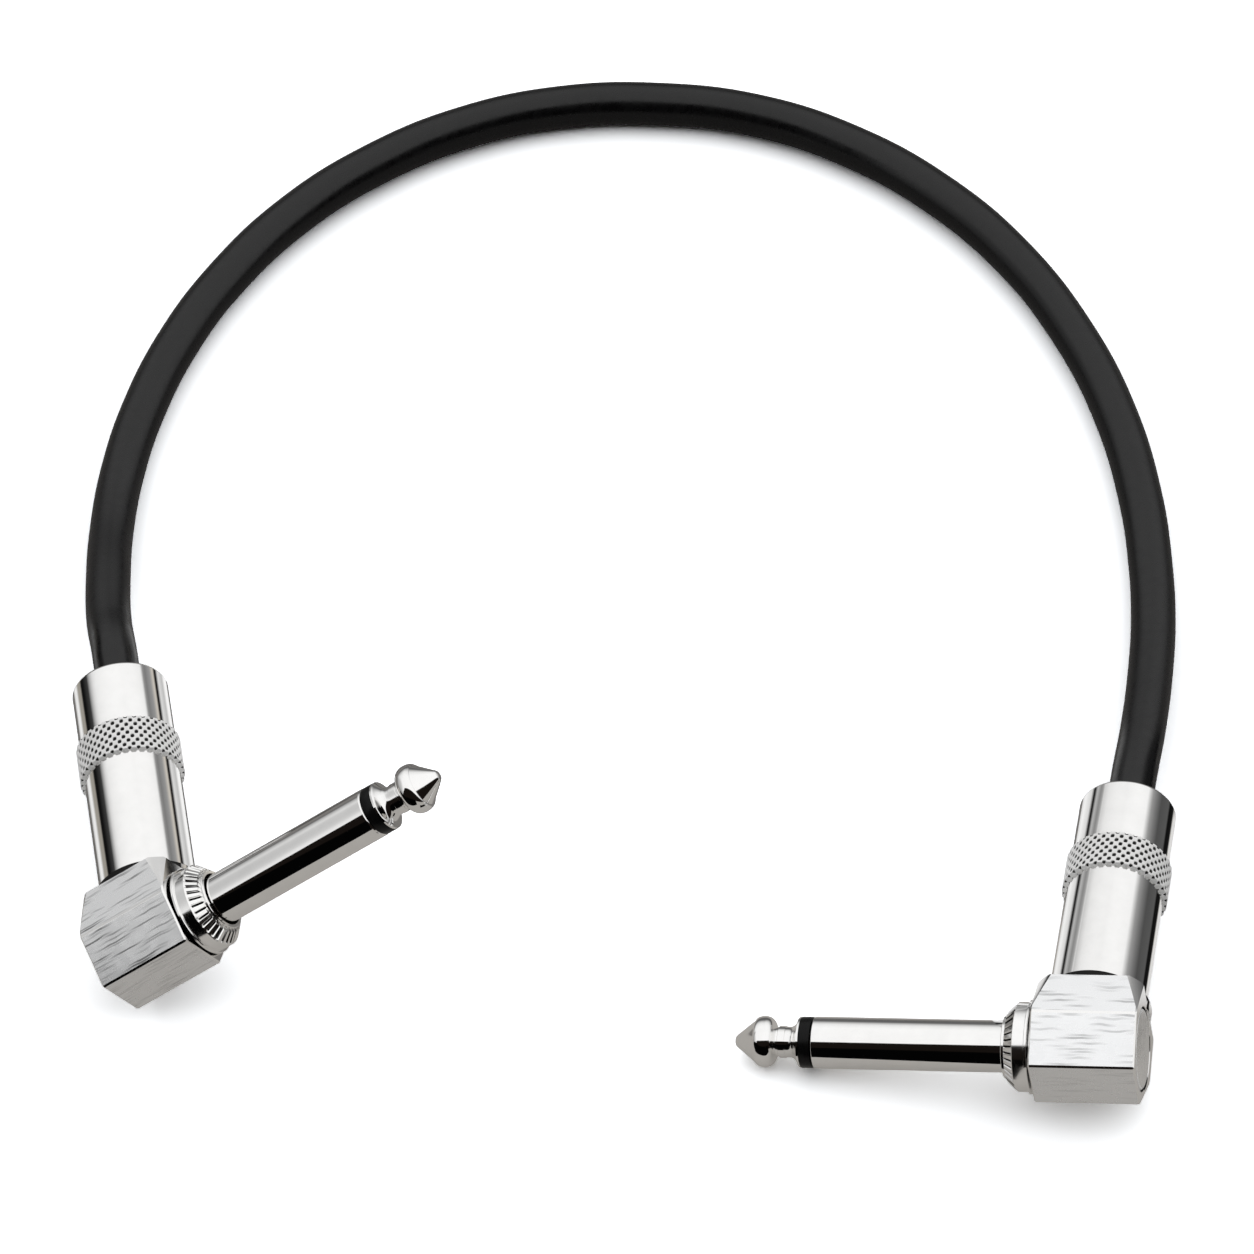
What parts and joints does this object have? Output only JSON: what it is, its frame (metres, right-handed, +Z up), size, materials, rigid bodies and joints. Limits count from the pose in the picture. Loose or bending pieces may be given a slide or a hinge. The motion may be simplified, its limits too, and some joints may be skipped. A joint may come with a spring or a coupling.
{
  "type": "instrument cable",
  "caption": "Short black instrument cable with a right-angle metal phone plug on each end: brushed elbow block, straight finger, serrated collar and knurled screw-on barrel.",
  "frame": {"origin": "centre of the box round the two plugs, on the surface that the cable lies on", "axes": "+X from the left plug to the right plug, +Y from the plugs towards the cable's loop, +Z up"},
  "size_m": [0.1386, 0.1706, 0.0358],
  "materials": {
    "brushed_nickel": "brushed along the finger",
    "polished_nickel": "polished",
    "tinned_brass": "dull",
    "bare_copper": "dull",
    "black_jacket": "satin",
    "black_insulator": "gloss",
    "fibre_washer": "matt",
    "white_insulation": "matt",
    "clear_lining": "milky"
  },
  "bodies": {
    "cable_and_plugs": {"left_elbow_block": "brushed_nickel", "left_end_cap": "brushed_nickel", "left_tip_contact": "polished_nickel", "left_tip_insulator": "black_insulator", "left_finger_sleeve": "polished_nickel", "left_rod_insulator": "white_insulation", "left_rear_washer": "fibre_washer", "left_tip_lug": "tinned_brass", "left_serrated_collar": "polished_nickel", "left_cable_clamp": "tinned_brass", "left_cable_end_jacket": "black_jacket", "left_braid_shield": "bare_copper", "left_core_insulation": "white_insulation", "left_center_conductor": "bare_copper", "right_elbow_block": "brushed_nickel", "right_end_cap": "brushed_nickel", "right_tip_contact": "polished_nickel", "right_tip_insulator": "black_insulator", "right_finger_sleeve": "polished_nickel", "right_rod_insulator": "white_insulation", "right_rear_washer": "fibre_washer", "right_tip_lug": "tinned_brass", "right_serrated_collar": "polished_nickel", "right_cable_clamp": "tinned_brass", "right_cable_end_jacket": "black_jacket", "right_braid_shield": "bare_copper", "right_core_insulation": "white_insulation", "right_center_conductor": "bare_copper", "cable_jacket": "black_jacket"},
    "left_barrel_slide": {"left_barrel_lining": "clear_lining"},
    "left_barrel_shell": {"left_barrel": "polished_nickel"},
    "right_barrel_slide": {"right_barrel_lining": "clear_lining"},
    "right_barrel_shell": {"right_barrel": "polished_nickel"}
  },
  "joints": [
    {"name": "left_barrel_draw", "type": "slide", "parent": "cable_and_plugs", "child": "left_barrel_slide", "axis": [-0.1495, 0.9886, 0.0175], "range_m": [0, 0.00451]},
    {"name": "left_barrel_turn", "type": "hinge", "parent": "left_barrel_slide", "child": "left_barrel_shell", "pos_m": [-0.05688, -0.0072, 0.00933], "axis": [-0.1495, 0.9886, 0.0175], "range_deg": [0, 2160]},
    {"name": "right_barrel_draw", "type": "slide", "parent": "cable_and_plugs", "child": "right_barrel_slide", "axis": [0.1596, 0.9857, -0.0541], "range_m": [0, 0.00451]},
    {"name": "right_barrel_turn", "type": "hinge", "parent": "right_barrel_slide", "child": "right_barrel_shell", "pos_m": [0.05649, -0.02444, 0.00982], "axis": [0.1596, 0.9857, -0.0541], "range_deg": [0, 2160]}
  ],
  "couplings": [
    {"joint": "left_barrel_draw", "follows": "left_barrel_turn", "m_per_rad": 0.00011937},
    {"joint": "right_barrel_draw", "follows": "right_barrel_turn", "m_per_rad": 0.00011937}
  ]
}
